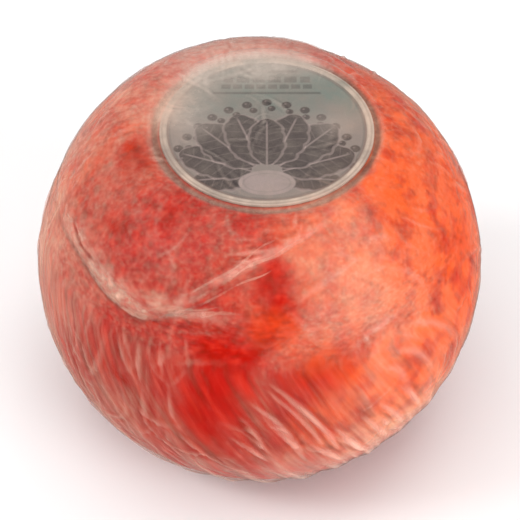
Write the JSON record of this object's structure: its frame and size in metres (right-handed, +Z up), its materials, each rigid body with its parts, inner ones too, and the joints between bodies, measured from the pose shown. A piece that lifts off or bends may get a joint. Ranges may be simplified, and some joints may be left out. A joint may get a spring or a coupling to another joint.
{
  "type": "ball of cheese",
  "caption": "Red-waxed ball of cheese with flattened top and base, sealed in clear crinkled film with a round label on top; rests on its flat base.",
  "frame": {"origin": "centre of the flat base that the ball rests on", "axes": "+Z up through the flattened top with the label, -Y the front, where the film's welt crosses from left to right"},
  "size_m": [0.1487, 0.1486, 0.1196],
  "materials": {
    "wax_under_film": "red cheese wax seen through clear crinkled film",
    "label_card": "printed card with an embossed pale border",
    "clear_film": "clear glossy wrapping film with creases"
  },
  "bodies": {
    "root": {"wrapped_cheese_ball": "wax_under_film", "top_label": "label_card"}
  },
  "joints": []
}
